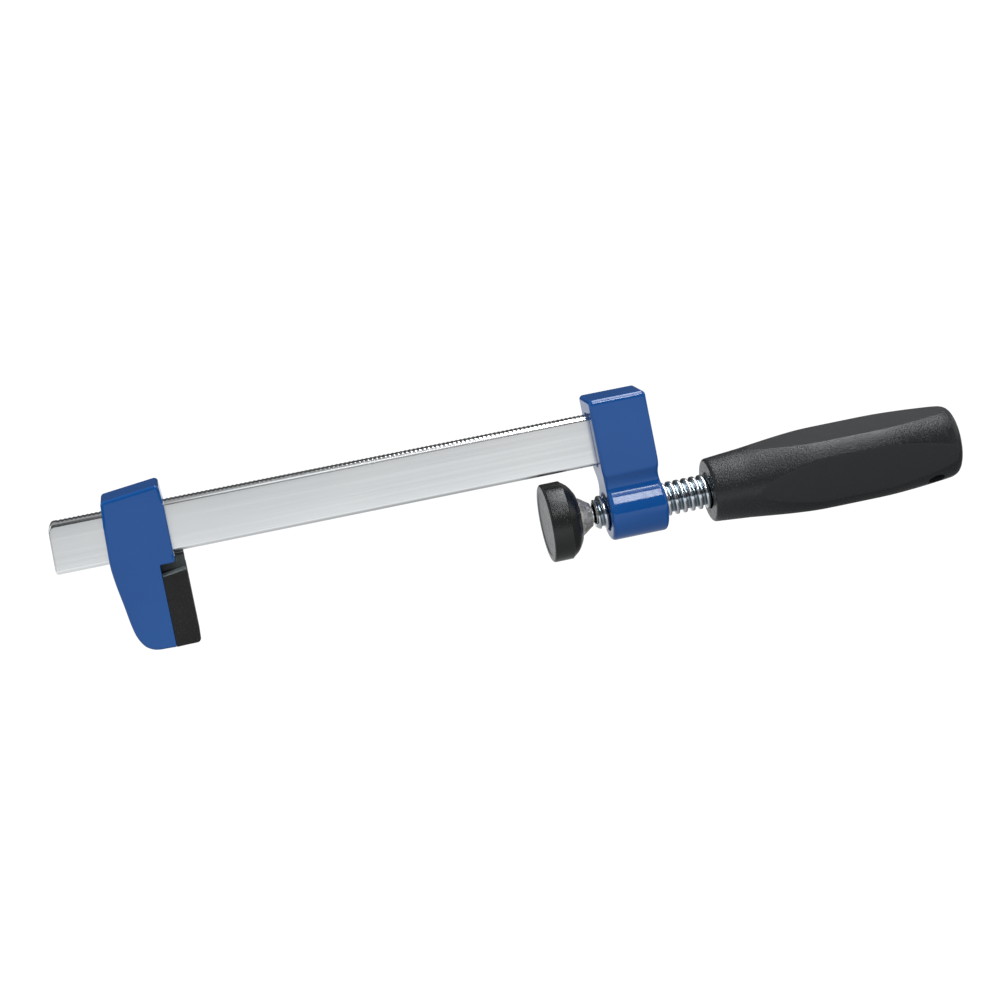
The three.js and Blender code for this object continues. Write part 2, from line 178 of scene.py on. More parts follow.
def fillet(points, closed=False, step=9.0):
    """Points [u, v, radius] joined by straight lines with rounded corners."""
    pts = [np.array(p[:2], float) for p in points]
    rad = [p[2] if len(p) > 2 else 0.0 for p in points]
    n = len(pts)
    out = []
    for i in range(n):
        p = pts[i]
        if rad[i] <= 0 or (not closed and i in (0, n - 1)):
            out.append(p)
            continue
        a = pts[(i - 1) % n] - p
        b = pts[(i + 1) % n] - p
        la, lb = np.linalg.norm(a), np.linalg.norm(b)
        a, b = a / la, b / lb
        ang = math.acos(max(-1, min(1, float(a @ b))))
        t = min(rad[i] / math.tan(ang / 2), la * 0.499, lb * 0.499)
        r = t * math.tan(ang / 2)
        mid = (a + b) / np.linalg.norm(a + b)
        c = p + mid * (r / math.sin(ang / 2))
        p0, p1 = p + a * t, p + b * t
        v0, v1 = p0 - c, p1 - c
        sweep = math.pi - ang
        steps = max(2, int(math.ceil(math.degrees(sweep) / step)))
        sgn = 1 if (v0[0] * v1[1] - v0[1] * v1[0]) > 0 else -1
        for k in range(steps + 1):
            w = sgn * sweep * k / steps
            cs, sn = math.cos(w), math.sin(w)
            out.append(c + np.array([v0[0] * cs - v0[1] * sn, v0[0] * sn + v0[1] * cs]))
    return np.array(out)


def curve(points, step=0.9):
    """Smooth curve through points (centripetal Catmull-Rom), including both ends."""
    p = np.asarray(points, float)
    q = np.vstack([2 * p[0] - p[1], p, 2 * p[-1] - p[-2]])
    out = []
    for i in range(1, len(q) - 2):
        a, b, c, d = q[i - 1], q[i], q[i + 1], q[i + 2]
        t0 = 0.0
        t1 = t0 + np.linalg.norm(b - a) ** 0.5
        t2 = t1 + np.linalg.norm(c - b) ** 0.5
        t3 = t2 + np.linalg.norm(d - c) ** 0.5
        k = max(2, int(math.ceil(np.linalg.norm(c - b) / step)))
        for j in range(k):
            t = t1 + (t2 - t1) * j / k
            a1 = (t1 - t) / (t1 - t0) * a + (t - t0) / (t1 - t0) * b
            a2 = (t2 - t) / (t2 - t1) * b + (t - t1) / (t2 - t1) * c
            a3 = (t3 - t) / (t3 - t2) * c + (t - t2) / (t3 - t2) * d
            b1 = (t2 - t) / (t2 - t0) * a1 + (t - t0) / (t2 - t0) * a2
            b2 = (t3 - t) / (t3 - t1) * a2 + (t - t1) / (t3 - t1) * a3
            out.append((t2 - t) / (t2 - t1) * b1 + (t - t1) / (t2 - t1) * b2)
    out.append(p[-1])
    return np.array(out)


def slice_z(ob, heights, tol=1e-7):
    """Adds an edge loop at each height (mm) all round a mesh."""
    bm = bmesh.new()
    bm.from_mesh(ob.data)
    for z in heights:
        bmesh.ops.bisect_plane(bm, geom=bm.verts[:] + bm.edges[:] + bm.faces[:], dist=tol,
                               plane_co=(0, 0, z * MM), plane_no=(0, 0, 1))
    bm.to_mesh(ob.data)
    bm.free()


def densify(points, longest, closed=True):
    out = []
    n = len(points)
    for i in range(n if closed else n - 1):
        p, q = points[i], points[(i + 1) % n]
        k = max(1, int(math.ceil(np.linalg.norm(q - p) / longest)))
        for j in range(k):
            out.append(p + (q - p) * j / k)
    if not closed:
        out.append(points[-1])
    return np.array(out)


def offset_dirs(p):
    """Mitred outward directions of a closed outline that runs anticlockwise."""
    nxt = np.roll(p, -1, 0) - p
    nxt /= np.linalg.norm(nxt, axis=1)[:, None]
    nrm = np.c_[nxt[:, 1], -nxt[:, 0]]
    prv = np.roll(nrm, 1, 0)
    s = nrm + prv
    return s / (1 + np.sum(nrm * prv, 1))[:, None]


def anticlockwise(p):
    x, y = p[:, 0], p[:, 1]
    area = np.sum(x * np.roll(y, -1) - np.roll(x, -1) * y)
    return p if area > 0 else p[::-1]


def soft_extrude(name, outline, w0, w1, rho0, rho1, to3d, segs=6, angle=32.0, even=True):
    """Outline (u, v) extruded along w, its two rims rounded. rho is a number or one value per point."""
    p = np.asarray(outline, float)
    d = offset_dirs(p)
    rho0 = np.broadcast_to(np.asarray(rho0, float), (len(p),))
    rho1 = np.broadcast_to(np.asarray(rho1, float), (len(p),))
    rings = []
    for k in range(segs + 1):
        a = math.pi / 2 * k / segs
        uv = p - d * (rho0 * (1 - math.sin(a)))[:, None]
        w = w0 + rho0 * (1 - math.cos(a))
        rings.append(to3d(uv, w))
    for k in range(segs + 1):
        a = math.pi / 2 * (1 - k / segs)
        uv = p - d * (rho1 * (1 - math.sin(a)))[:, None]
        w = w1 - rho1 * (1 - math.cos(a))
        rings.append(to3d(uv, w))
    v, f = rings_to_mesh(rings, "face", "face")
    return new_object(name, v, f, angle)


def along_y(uv, w):      # outline in x, z; extruded along y
    return np.c_[uv[:, 0], np.broadcast_to(w, (len(uv),)), uv[:, 1]]


def along_x(uv, w):      # outline in y, z; extruded along x
    return np.c_[np.broadcast_to(w, (len(uv),)), uv[:, 0], uv[:, 1]]


def turned(name, profile, n=96, axis="x", origin=(0, 0, 0), angle=32.0):
    """Body of revolution. profile is [along, radius]; radius 0 makes a pole; otherwise it closes on itself."""
    prof = np.asarray(profile, float)
    th = np.arange(n) * TAU / n
    o = np.array(origin, float)

    def place(a, r):
        c, s = np.cos(th) * r, np.sin(th) * r
        if axis == "x":
            return np.c_[np.full(n, a), c, s] + o
        return np.c_[s, np.full(n, a), c] + o

    def pole(a):
        return (np.array([a, 0, 0]) if axis == "x" else np.array([0, a, 0])) + o

    if prof[0, 1] < 1e-9:
        rings = [place(a, r) for a, r in prof[1:-1]]
        v, f = rings_to_mesh(rings, pole(prof[0, 0]), pole(prof[-1, 0]))
    else:
        rings = [place(a, r) for a, r in prof]
        v, f = rings_to_mesh(rings, loop=True)
    return new_object(name, v, f, angle)


# ------------------------------------------------------------ materials

def node_material(name):
    m = bpy.data.materials.new(name)
    m.use_nodes = True
    nt = m.node_tree
    bsdf = next(n for n in nt.nodes if n.type == "BSDF_PRINCIPLED")
    return m, nt, bsdf


class Nodes:
    """Small helper that adds and links shader nodes."""

    def __init__(self, nt):
        self.nt = nt
        self.coord = nt.nodes.new("ShaderNodeTexCoord")

    def mapping(self, scale):
        n = self.nt.nodes.new("ShaderNodeMapping")
        n.inputs["Scale"].default_value = scale
        self.nt.links.new(self.coord.outputs["Object"], n.inputs["Vector"])
        return n.outputs["Vector"]

    def noise(self, scale=1.0, detail=3.0, rough=0.5, stretch=(1, 1, 1), distortion=0.0):
        n = self.nt.nodes.new("ShaderNodeTexNoise")
        n.inputs["Scale"].default_value = scale
        n.inputs["Detail"].default_value = detail
        n.inputs["Roughness"].default_value = rough
        n.inputs["Distortion"].default_value = distortion
        self.nt.links.new(self.mapping(stretch), n.inputs["Vector"])
        return n.outputs["Fac"]

    def voronoi(self, scale, feature="F1", stretch=(1, 1, 1)):
        n = self.nt.nodes.new("ShaderNodeTexVoronoi")
        n.feature = feature
        n.inputs["Scale"].default_value = scale
        self.nt.links.new(self.mapping(stretch), n.inputs["Vector"])
        return n.outputs["Distance"]

    def remap(self, value, a, b, lo, hi, smoothstep=False):
        n = self.nt.nodes.new("ShaderNodeMapRange")
        n.interpolation_type = "SMOOTHSTEP" if smoothstep else "LINEAR"
        n.inputs["From Min"].default_value = a
        n.inputs["From Max"].default_value = b
        n.inputs["To Min"].default_value = lo
        n.inputs["To Max"].default_value = hi
        self.nt.links.new(value, n.inputs["Value"])
        return n.outputs["Result"]

    def math(self, op, a, b=None, clamp=False):
        n = self.nt.nodes.new("ShaderNodeMath")
        n.operation = op
        n.use_clamp = clamp
        for i, v in enumerate((a, b)):
            if v is None:
                continue
            if isinstance(v, (int, float)):
                n.inputs[i].default_value = v
            else:
                self.nt.links.new(v, n.inputs[i])
        return n.outputs[0]

    def mix(self, fac, a, b):
        n = self.nt.nodes.new("ShaderNodeMix")
        n.data_type = "RGBA"
        for sock, v in (("Factor", fac), ("A", a), ("B", b)):
            target = next(s for s in n.inputs if s.name == sock and s.enabled)
            if isinstance(v, (tuple, list)):
                target.default_value = (*v, 1.0) if len(v) == 3 else v
            elif isinstance(v, (int, float)):
                target.default_value = v
            else:
                self.nt.links.new(v, target)
        return next(o for o in n.outputs if o.enabled)

    def bump(self, height, strength, distance, normal=None):
        n = self.nt.nodes.new("ShaderNodeBump")
        n.inputs["Strength"].default_value = strength
        n.inputs["Distance"].default_value = distance
        self.nt.links.new(height, n.inputs["Height"])
        if normal is not None:
            self.nt.links.new(normal, n.inputs["Normal"])
        return n.outputs["Normal"]

    def edge_wear(self, low=0.52, high=0.62):
        """White on outer edges, from the shape's pointiness."""
        g = self.nt.nodes.new("ShaderNodeNewGeometry")
        return self.remap(g.outputs["Pointiness"], low, high, 0.0, 1.0)

    def attribute(self, name):
        n = self.nt.nodes.new("ShaderNodeAttribute")
        n.attribute_name = name
        return n.outputs["Fac"]

    def link(self, out, sock):
        self.nt.links.new(out, sock)


def mat_paint():
    m, nt, b = node_material("blue_enamel")
    k = Nodes(nt)
    patch = k.noise(28, 3, 0.5)
    base = k.mix(k.remap(patch, 0.3, 0.7, 0.0, 1.0), (0.0030, 0.060, 0.238), (0.0042, 0.071, 0.268))
    # the enamel thins a little over the outer edges
    base = k.mix(k.math("MULTIPLY", k.edge_wear(0.53, 0.66), 0.16), base, (0.03, 0.15, 0.42))
    k.link(base, b.inputs["Base Color"])
    k.link(k.remap(k.noise(120, 3, 0.55), 0.3, 0.7, 0.065, 0.105), b.inputs["Roughness"])
    b.inputs["IOR"].default_value = 1.46
    peel = k.bump(k.noise(330, 2, 0.4), 0.05, 0.0003)
    k.link(k.bump(k.noise(1300, 1, 0.4), 0.012, 0.00008, peel), b.inputs["Normal"])
    return m


def mat_bar():
    m, nt, b = node_material("zinc_plated_bar")
    k = Nodes(nt)
    # rolled flat stock under a thin bright plate: soft clouds, and streaks that barely show
    streak = k.noise(1.0, 4, 0.6, stretch=(7, 800, 800))
    cloud = k.noise(34, 3, 0.5, stretch=(0.6, 1, 1), distortion=0.2)
    base = k.mix(k.remap(cloud, 0.32, 0.70, 0, 1), (0.955, 0.965, 0.965), (0.90, 0.918, 0.925))
    base = k.mix(k.math("MULTIPLY", k.remap(streak, 0.4, 0.75, 0, 1), 0.10), base, (0.70, 0.72, 0.73))
    k.link(base, b.inputs["Base Color"])
    b.inputs["Metallic"].default_value = 1.0
    # the rounded, serrated edge is burnished by the jaw
    place = nt.nodes.new("ShaderNodeSeparateXYZ")
    nt.links.new(k.coord.outputs["Object"], place.inputs[0])
    edge = k.remap(place.outputs["Z"], float(bar_hi[2] - 1.9) * MM, float(bar_hi[2] - 1.5) * MM, 1.0, 0.42, True)
    k.link(k.math("MULTIPLY", k.remap(streak, 0.3, 0.7, 0.215, 0.265), edge), b.inputs["Roughness"])
    k.link(k.bump(streak, 0.008, 0.00005), b.inputs["Normal"])
    return m


def mat_thread():
    m, nt, b = node_material("zinc_plated_screw")
    k = Nodes(nt)
    cloud = k.noise(240, 4, 0.6)
    base = k.mix(k.remap(cloud, 0.32, 0.68, 0, 1), (0.84, 0.85, 0.86), (0.62, 0.67, 0.71))
    # painted shade: the roots of the thread are darkened and tinted blue
    root = k.attribute("root")
    base = k.mix(k.math("MULTIPLY", root, 0.84), base, (0.17, 0.24, 0.29))
    k.link(base, b.inputs["Base Color"])
    b.inputs["Metallic"].default_value = 1.0
    k.link(k.remap(k.noise(700, 3, 0.6), 0.3, 0.7, 0.09, 0.18), b.inputs["Roughness"])
    k.link(k.bump(k.noise(1200, 3, 0.6, stretch=(0.4, 1, 1)), 0.06, 0.00008), b.inputs["Normal"])
    return m


def mat_steel(name="dull_steel", tint=(0.76, 0.73, 0.68), dark=(0.30, 0.288, 0.27), rough=(0.34, 0.50), metal=1.0):
    m, nt, b = node_material(name)
    k = Nodes(nt)
    cloud = k.noise(420, 4, 0.62)
    rings = k.noise(1.0, 3, 0.5, stretch=(3200, 260, 260))
    base = k.mix(k.remap(cloud, 0.36, 0.64, 0, 1), tint, dark)
    k.link(base, b.inputs["Base Color"])
    b.inputs["Metallic"].default_value = metal
    k.link(k.remap(k.math("MULTIPLY", k.math("ADD", cloud, rings), 0.5), 0.3, 0.7, rough[0], rough[1]), b.inputs["Roughness"])
    n1 = k.bump(rings, 0.18, 0.00006)
    k.link(k.bump(k.noise(2600, 2, 0.5), 0.12, 0.00004, n1), b.inputs["Normal"])
    return m


def mat_handle():
    m, nt, b = node_material("black_moulded_handle")
    k = Nodes(nt)
    grain = k.noise(2300, 2, 0.6)
    coarse = k.noise(1250, 2, 0.5)
    both = k.math("ADD", k.math("MULTIPLY", grain, 0.6), k.math("MULTIPLY", coarse, 0.4))
    strip = k.attribute("grained")
    flow = k.noise(9, 3, 0.5, stretch=(0.25, 1, 1), distortion=0.8)
    base = k.mix(k.remap(flow, 0.3, 0.7, 0, 1), (0.0172, 0.0180, 0.0192), (0.0140, 0.0147, 0.0156))
    base = k.mix(k.math("MULTIPLY", k.remap(both, 0.52, 0.66, 0, 1), 0.18), base, (0.04, 0.043, 0.043))
    k.link(base, b.inputs["Base Color"])
    # the grain scatters light unevenly where the corners are textured
    uneven = k.math("MULTIPLY", k.remap(both, 0.38, 0.62, -1.0, 1.3), k.remap(strip, 0, 1, 0.03, 0.085))
    rough = k.math("MAXIMUM", k.math("ADD", k.remap(strip, 0, 1, 0.33, 0.185), uneven), 0.08)
    k.link(rough, b.inputs["Roughness"])
    b.inputs["IOR"].default_value = 1.5
    b.inputs["Specular IOR Level"].default_value = 0.36
    depth = k.math("MULTIPLY", both, k.remap(strip, 0, 1, 0.16, 1.0))
    k.link(k.bump(depth, 0.55, 0.0003), b.inputs["Normal"])
    return m


def mat_cap():
    m, nt, b = node_material("black_moulded_cap")
    k = Nodes(nt)
    grain = k.math("ADD", k.math("MULTIPLY", k.noise(1500, 2, 0.55), 0.6), k.math("MULTIPLY", k.noise(620, 3, 0.5), 0.4))
    base = k.mix(k.remap(k.noise(70, 3, 0.5), 0.3, 0.7, 0, 1), (0.0105, 0.0110, 0.0112), (0.0078, 0.0082, 0.0085))
    base = k.mix(k.math("MULTIPLY", k.edge_wear(0.54, 0.68), 0.4), base, (0.06, 0.062, 0.062))
    k.link(base, b.inputs["Base Color"])
    k.link(k.remap(grain, 0.35, 0.65, 0.23, 0.34), b.inputs["Roughness"])
    b.inputs["IOR"].default_value = 1.5
    b.inputs["Specular IOR Level"].default_value = 0.42
    k.link(k.bump(grain, 0.22, 0.0003), b.inputs["Normal"])
    return m


def mat_rubber():
    m, nt, b = node_material("black_pad_rubber")
    k = Nodes(nt)
    grain = k.noise(1900, 3, 0.6)
    base = k.mix(k.remap(k.noise(55, 4, 0.6), 0.3, 0.7, 0, 1), (0.0075, 0.0074, 0.0072), (0.0115, 0.0113, 0.0110))
    base = k.mix(k.math("MULTIPLY", k.edge_wear(0.53, 0.66), 0.35), base, (0.05, 0.05, 0.048))
    # painted light: faces that point up are made a much lighter grey, standing in for the light falling on them from
    # above
    geo = nt.nodes.new("ShaderNodeNewGeometry")
    up = nt.nodes.new("ShaderNodeSeparateXYZ")
    nt.links.new(geo.outputs["Normal"], up.inputs[0])
    base = k.mix(k.remap(up.outputs["Z"], 0.55, 0.95, 0.0, 0.85, True), base, (0.20, 0.23, 0.23))
    # painted reflection: the step and the tongue get a lighter greenish grey band with vertical streaks, standing in
    # for the sheen on them
    place = nt.nodes.new("ShaderNodeSeparateXYZ")
    nt.links.new(k.coord.outputs["Object"], place.inputs[0])
    painted_sheen = k.math("MULTIPLY", k.remap(place.outputs["Z"], 0.0118, 0.0128, 0.0, 1.0, True), k.remap(place.outputs["Z"], 0.0163, 0.0172, 1.0, 0.0, True))
    painted_sheen = k.math("MULTIPLY", painted_sheen, k.remap(k.noise(1.0, 3, 0.6, stretch=(1500, 300, 220)), 0.3, 0.7, 0.55, 1.0))
    base = k.mix(painted_sheen, base, (0.060, 0.072, 0.072))
    k.link(base, b.inputs["Base Color"])
    k.link(k.remap(grain, 0.3, 0.7, 0.50, 0.68), b.inputs["Roughness"])
    b.inputs["IOR"].default_value = 1.4
    k.link(k.bump(grain, 0.22, 0.00016), b.inputs["Normal"])
    return m


PAINT = mat_paint()
BAR = mat_bar()
THREAD = mat_thread()
STEEL = mat_steel(metal=0.72)
PIN_STEEL = mat_steel("pin_steel", (0.42, 0.42, 0.42), (0.28, 0.28, 0.29), (0.22, 0.36))
HANDLE = mat_handle()
CAP = mat_cap()
RUBBER = mat_rubber()


def finish_piece(ob, mat, body, nodes):
    ob.data.materials.clear()
    ob.data.materials.append(mat)
    ob.data.polygons.foreach_set("material_index", [0] * len(ob.data.polygons))
    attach(ob, body)
    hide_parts(*nodes)
    return ob


# ------------------------------------------------------------ bar

TOOTH_PITCH = 1.5875
TOOTH_DEPTH = 0.34


def build_bar():
    x0, x1 = bar_lo[0], bar_hi[0]
    z0, z1 = bar_lo[2], bar_hi[2]
    h = (bar_hi[1] - bar_lo[1]) / 2
    height = z1 - z0
    r = 1.8
    # section, anticlockwise in (y, z)
    sec = fillet([(-h, 0, r), (h, 0, r), (h, height, r), (-h, height, r)], closed=True, step=12)
    sec = densify(sec, 4.5)
    base = np.array([0, height / 2])

    def ring(s, depth=0.0, shrink=0.0):
        """Section at distance s from the free end, which leans a little and has unequal corners."""
        p = sec.copy()
        lo, hi = 0.0, height
        if s < 0.9:
            lo = 0.9 - math.sqrt(max(0.0, 0.81 - (0.9 - s) ** 2))
        if s < 2.7:
            hi = height - 4.0 * (1 - math.sqrt(max(0.0, 1 - ((2.7 - s) / 2.7) ** 2)))
        if shrink:
            p[:, 0] *= (h - shrink) / h
            lo += shrink * 0.5
            hi -= shrink * 0.5
        p[:, 1] = lo + p[:, 1] * (hi - lo) / height
        p[:, 1] = np.minimum(p[:, 1], height - depth)
        lean = 0.035 * max(0.0, 1 - s / 3.9)
        return np.c_[x0 + s + lean * p[:, 1], p[:, 0], p[:, 1] + z0]

    rings = []
    e = 0.7
    for a in np.linspace(0, math.pi / 2, 7):
        s = e * (1 - math.cos(a))
        rings.append(ring(s, 0, e * (1 - math.sin(a))))
    for s in (0.85, 1.05, 1.3, 1.6, 1.95, 2.3, 2.7, 3.2):
        rings.append(ring(s))
    length = x1 - x0
    first = 3.9
    count = int((length - 7.0 - first) / TOOTH_PITCH)
    for i in range(count):
        a = first + i * TOOTH_PITCH
        rings.append(ring(a, 0.0))
        rings.append(ring(a + 0.56, TOOTH_DEPTH))
        rings.append(ring(a + 0.80, TOOTH_DEPTH))
        rings.append(ring(a + 1.36, 0.0))
    rings.append(ring(first + count * TOOTH_PITCH, 0.0))
    rings.append(ring(length - 0.5))
    rings.append(ring(length - 0.1, 0, 0.1))
    rings.append(ring(length, 0, 0.4))
    v, f = rings_to_mesh(rings, "face", "face")
    ob = new_object("steel_bar", v, f, 28)
    tools = []
    for z in JAW_PIN_Z:
        tools.append(turned("pin_hole", [(-6, 0), (-6, 2.05), (6, 2.05), (6, 0)], 40, "y", (JAW_PIN_X, 0, z)))
    cut(ob, *tools, angle=28)
    weighted(ob)
    return finish_piece(ob, BAR, "bar_and_fixed_jaw", ["bar"])


# ------------------------------------------------------------ fixed jaw

def trumpet(name, outline, stations, to3d):
    """Hole cutter: the outline, offset outwards by a given amount at each station along the hole."""
    p = np.asarray(outline, float)
    d = offset_dirs(p)
    rings = [to3d(p + d * o, w) for w, o in stations]
    v, f = rings_to_mesh(rings, "face", "face")
    return new_object(name, v, f)


def flare(w0, w1, rho, extra=1.5, n=5):
    """Stations (position, offset) for a hole from w0 to w1 whose rims are rounded by rho."""
    out = [(w0 - extra, rho * 1.6), (w0, rho)]
    for k in range(1, n + 1):
        a = math.pi / 2 * k / n
        out.append((w0 + rho * math.sin(a), rho * (1 - math.sin(math.pi / 2 * k / n)) if False else rho - math.sqrt(max(0.0, rho ** 2 - (rho - rho * math.sin(a)) ** 2))))
    back = []
    for k in range(n, 0, -1):
        a = math.pi / 2 * k / n
        back.append((w1 - rho * math.sin(a), rho - math.sqrt(max(0.0, rho ** 2 - (rho - rho * math.sin(a)) ** 2))))
    out += back
    out += [(w1, rho), (w1 + extra, rho * 1.6)]
    return out


def hermite(p0, t0, p1, t1, n):
    out = []
    for k in range(n + 1):
        s = k / n
        h00, h10 = 2 * s ** 3 - 3 * s ** 2 + 1, s ** 3 - 2 * s ** 2 + s
        h01, h11 = -2 * s ** 3 + 3 * s ** 2, s ** 3 - s ** 2
        out.append(h00 * np.array(p0) + h10 * np.array(t0) + h01 * np.array(p1) + h11 * np.array(t1))
    return np.array(out)


BORE_R = 6.65


# faces of the fixed jaw towards the throat and towards the handle, as [height, x]
FIXED_LEFT = [(-12, 154.4), (4, 154.45), (7.5, 154.5), (10.5, 154.45), (13.5, 154.1), (16.5, 153.7), (43.2, 152.8)]
FIXED_RIGHT = [(-12, 175.7), (-4, 175.8), (1, 175.9), (6, 175.7), (8.3, 175.05), (11.7, 174.6), (13.8, 174.75), (16.8, 175.15), (43.2, 174.2)]


def eased(table, z):
    """Table looked up at z, with its corners eased over about 2 mm."""
    t = np.array(table, float)
    return sum(np.interp(z + o, t[:, 0], t[:, 1]) * w for o, w in ((-1.6, 0.12), (-0.8, 0.22), (0, 0.32), (0.8, 0.22), (1.6, 0.12)))


def build_fixed_jaw():
    x0, x1 = 153.0, 175.0
    top = fix_hi[2]
    rb = -fix_lo[2]               # boss radius
    w = JAW_HALF_Y
    a0 = math.radians(43)
    neck = curve([(w, 16.6), (w - 0.02, 15.6), (9.2, 14.5), (8.65, 13.5), (8.05, 12.3), (7.68, 10.9), (7.6, 9.6), (7.78, 8.45),
                  (rb * math.cos(a0), rb * math.sin(a0))], 0.5)
    arc = [(rb * math.cos(t), rb * math.sin(t)) for t in np.linspace(a0, -math.pi / 2, 34)][1:]
    corner = fillet([(0, top, 0), (w, top, 1.7), (w, 16.6, 0)], step=7)
    right = np.vstack([corner[1:-1], neck, arc])
    left = right[:-1].copy()
    left[:, 0] *= -1
    outline = anticlockwise(np.vstack([right, left[::-1]]))
    outline = densify(outline, 2.0)
    ob = soft_extrude("painted_fixed_jaw", outline, x0, x1, 1.5, 1.5, along_x, 9)
    slot_h = bar_half + 0.28
    slot = fillet([(-slot_h, bar_lo[2] - 0.28, 0.9), (slot_h, bar_lo[2] - 0.28, 0.9),
                   (slot_h, bar_hi[2] + 0.28, 0.9), (-slot_h, bar_hi[2] + 0.28, 0.9)], closed=True, step=15)
    slot = anticlockwise(slot)
    tools = [trumpet("slot_tool", slot, flare(x0, x1, 0.5), along_x)]
    bore = [(x0 - 3, 0), (x0 - 3, BORE_R + 2.2), (x0, BORE_R + 0.75), (x0 + 0.8, BORE_R), (x1 - 0.8, BORE_R), (x1, BORE_R + 0.75), (x1 + 3, BORE_R + 2.4), (x1 + 3, 0)]
    tools.append(turned("bore_tool", bore, 96))
    for z in JAW_PIN_Z:
        tools.append(turned("pin_tool", [(-6.1, 0), (-6.1, 2.2), (w - 0.35, 2.2), (w, 2.5), (w + 3, 3.4), (w + 3, 0)], 48, "y", (JAW_PIN_X, 0, z)))
    cut(ob, *tools)
    # the casting's two end faces are drafted, and waisted above the boss
    slice_z(ob, np.arange(-10.5, top - 0.4, 0.9))
    me = ob.data
    co = np.empty(len(me.vertices) * 3)
    me.vertices.foreach_get("co", co)
    co = co.reshape(-1, 3) / MM
    s = (co[:, 0] - x0) / (x1 - x0)
    co[:, 0] = eased(FIXED_LEFT, co[:, 2]) * (1 - s) + eased(FIXED_RIGHT, co[:, 2]) * s
    me.vertices.foreach_set("co", (co * MM).ravel())
    smooth(ob, 32)
    weighted(ob)
    return finish_piece(ob, PAINT, "bar_and_fixed_jaw", ["fixed_jaw"])


def build_pin(name, node, body, slit=True):
    lo, hi = box_mm(node)
    c = (lo + hi) / 2
    r = (hi[2] - lo[2]) / 2
    y0, y1 = lo[1], hi[1]
    cham = 0.45
    rin = r * 0.58
    prof = fillet([(y0, r - cham, 0.2), (y0 + cham * 1.6, r, 0.3), (y1 - cham * 1.6, r, 0.3), (y1, r - cham, 0.2),
                   (y1, rin, 0.15), (y0, rin, 0.15)], closed=True, step=20)
    ob = turned(name, prof, 64, "y", (c[0], 0, c[2]))
    if slit:
        # rolled spring pin: open along one side
        w = r * 0.16
        sl = fillet([(-w, 0, 0), (w, 0, 0), (w, r * 2, 0), (-w, r * 2, 0)], closed=True)
        tool = soft_extrude("slit_tool", anticlockwise(sl + np.array([c[0], c[2]])), y0 - 2, y1 + 2, 0.001, 0.001, along_y, 1)
        cut(ob, tool, angle=30)
    return finish_piece(ob, PIN_STEEL, body, [node])


# ------------------------------------------------------------ sliding jaw and its pad



def build_sliding_jaw():
    leg = -9.0
    toe = curve([(-25.62, 33.5), (-25.95, 24.5), (-26.12, 18.6), (-25.6, 12.4), (-24.28, 3.6), (-22.98, -5.2), (-21.85, -9.25),
                 (-19.65, -12.75), (-16.7, -14.45), (-14.2, -14.8)], 1.6)
    pts = [(-24.94, 41.9, 1.5)] + [(*q, 0) for q in toe] + [(leg, -14.82, 0.4), (leg, 15.6, 0.6), (-3.4, 15.6, 1.25), (-3.4, 37.0, 30.0),
                                                         (-3.98, 44.24, 1.5)]
    out = fillet(pts, closed=True, step=7)
    out = anticlockwise(densify(out, 2.2))
    # soft rims all round, but crisp where the leg meets the pad and in the notch
    rho = np.full(len(out), 1.25)
    inner = (out[:, 0] > leg - 0.5) & (out[:, 1] < 15.3)
    rho[inner] = 0.25
    notch = (out[:, 0] > leg - 0.3) & (np.abs(out[:, 1] - 15.6) < 1.2)
    rho[notch] = np.minimum(rho[notch], 0.6)
    for _ in range(3):
        rho = (np.roll(rho, 1) + rho * 2 + np.roll(rho, -1)) / 4
    ob = soft_extrude("painted_sliding_jaw", out, -JAW_HALF_Y, JAW_HALF_Y, rho, rho, along_y, 8)
    # slot for the bar, following the slightly leaning end faces
    sh = bar_half + 0.25
    z0, z1 = bar_lo[2] - 0.55, bar_hi[2] + 0.4
    slot = anticlockwise(fillet([(-sh, z0, 0.8), (sh, z0, 0.8), (sh, z1, 0.8), (-sh, z1, 0.8)], closed=True, step=15))

    def follow(uv, w):
        z = uv[:, 1]
        left = np.interp(z, [16, 18.2, 24.5, 33.5, 41.1], [-26.0, -26.14, -25.95, -25.6, -25.0])
        x = left + (w / 22.0) * (-3.4 - left)
        return np.c_[x, uv[:, 0], z]

    tools = [trumpet("slot_tool", slot, flare(0.0, 22.0, 0.5), follow)]
    for x, z in GRIPS:
        tools.append(turned("pin_tool", [(-6.5, 0), (-6.5, 1.7), (JAW_HALF_Y - 0.3, 1.7), (JAW_HALF_Y, 1.95), (JAW_HALF_Y + 3, 2.8), (JAW_HALF_Y + 3, 0)], 40, "y", (x, 0, z)))
    cut(ob, *tools)
    # the leg thins very slightly towards its toe, below a soft crease under the bar
    slice_z(ob, (15.0, 14.4, 13.8, 8, 2, -4, -10))
    bm = bmesh.new()
    bm.from_mesh(ob.data)
    for v in bm.verts:
        z = v.co.z / MM
        if z < 15.0:
            t = (15.0 - z)
            drop = 0.006 * t + 0.07 * min(1.0, t / 1.2)
            v.co.y *= (JAW_HALF_Y - drop) / JAW_HALF_Y
    bm.to_mesh(ob.data)
    bm.free()
    smooth(ob, 32)
    weighted(ob)
    return finish_piece(ob, PAINT, "sliding_jaw", ["sliding_jaw"])


